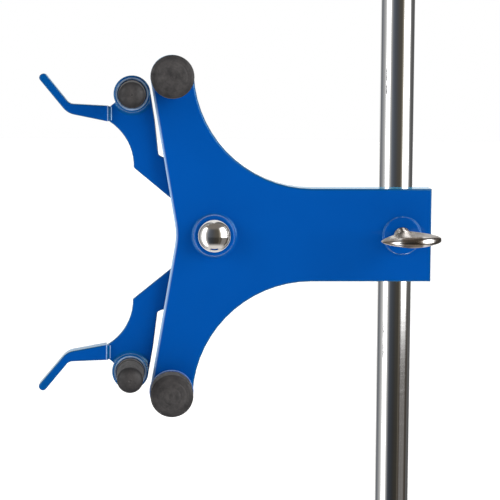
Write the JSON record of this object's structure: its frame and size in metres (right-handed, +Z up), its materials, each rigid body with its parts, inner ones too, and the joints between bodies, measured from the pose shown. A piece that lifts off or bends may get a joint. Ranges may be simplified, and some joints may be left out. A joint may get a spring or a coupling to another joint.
{
  "type": "retort stand",
  "caption": "Retort stand: weighted base, upright steel rod and a blue two-jaw burette clamp with spring levers, rubber jaw pads and a wing screw.",
  "frame": {"origin": "middle of the base's footprint, on the surface that the stand stands on", "axes": "+Z up along the rod, -Y towards the clamp's front and its wing screw, -X towards the jaws"},
  "size_m": [0.2, 0.13, 0.515],
  "materials": {
    "blue_enamel": "glossy enamel",
    "chrome": "mirror",
    "polished_steel": "polished",
    "zinc_steel": "satin",
    "brass": "satin",
    "black_rubber": "matt",
    "nylon": "matt"
  },
  "bodies": {
    "stand": {"base_plate": "blue_enamel", "foot_1": "black_rubber", "foot_2": "black_rubber", "foot_3": "black_rubber", "foot_4": "black_rubber", "foot_screw_1": "zinc_steel", "foot_screw_2": "zinc_steel", "foot_screw_3": "zinc_steel", "foot_screw_4": "zinc_steel", "rod_washer": "zinc_steel", "rod_nut": "zinc_steel"},
    "rod": {"support_rod": "polished_steel"},
    "clamp": {"clamp_plate": "blue_enamel", "rod_bracket": "blue_enamel", "bracket_screw_1": "zinc_steel", "bracket_screw_2": "zinc_steel", "bracket_screw_3": "zinc_steel", "bracket_screw_4": "zinc_steel", "upper_pad_stud": "zinc_steel", "lower_pad_stud": "zinc_steel", "upper_fixed_pad": "black_rubber", "lower_fixed_pad": "black_rubber", "pivot_bolt": "chrome", "pivot_bush": "brass", "front_washer": "nylon", "middle_washer": "nylon", "rear_washer": "nylon", "nut_washer": "zinc_steel", "pivot_nut": "zinc_steel", "upper_spring": "zinc_steel", "lower_spring": "zinc_steel", "threaded_insert": "brass"},
    "upper_jaw": {"upper_lever": "blue_enamel", "upper_jaw_stud": "zinc_steel", "upper_jaw_pad": "black_rubber"},
    "lower_jaw": {"lower_lever": "blue_enamel", "lower_jaw_stud": "zinc_steel", "lower_jaw_pad": "black_rubber"},
    "screw_pad": {"pressure_pad": "nylon"},
    "screw": {"wing_screw": "chrome"}
  },
  "joints": [
    {"name": "clamp_swivel", "type": "hinge", "parent": "stand", "child": "rod", "pos_m": [0.06, 0, 0.3], "axis": [0, 0, 1], "continuous": true},
    {"name": "clamp_height", "type": "slide", "parent": "rod", "child": "clamp", "axis": [0, 0, 1], "range_m": [-0.285, 0.12]},
    {"name": "upper_jaw_open", "type": "hinge", "parent": "clamp", "child": "upper_jaw", "pos_m": [-0.009, -0.0197, 0.375], "axis": [0, -1, 0], "range_deg": [0, 14], "stiffness_Nm_per_rad": 0.5, "springref_deg": -51.57, "deforming": ["upper_spring"]},
    {"name": "lower_jaw_open", "type": "hinge", "parent": "clamp", "child": "lower_jaw", "pos_m": [-0.009, -0.0197, 0.375], "axis": [0, 1, 0], "range_deg": [0, 14], "stiffness_Nm_per_rad": 0.5, "springref_deg": -51.57, "deforming": ["lower_spring"]},
    {"name": "pad_travel", "type": "slide", "parent": "clamp", "child": "screw_pad", "axis": [0, -1, 0], "range_m": [0, 0.00225]},
    {"name": "wing_turn", "type": "hinge", "parent": "screw_pad", "child": "screw", "pos_m": [0.06, -0.0397, 0.375], "axis": [0, -1, 0], "range_deg": [0, 810]}
  ],
  "couplings": [
    {"joint": "wing_turn", "follows": "pad_travel", "rad_per_m": 6283.2}
  ]
}
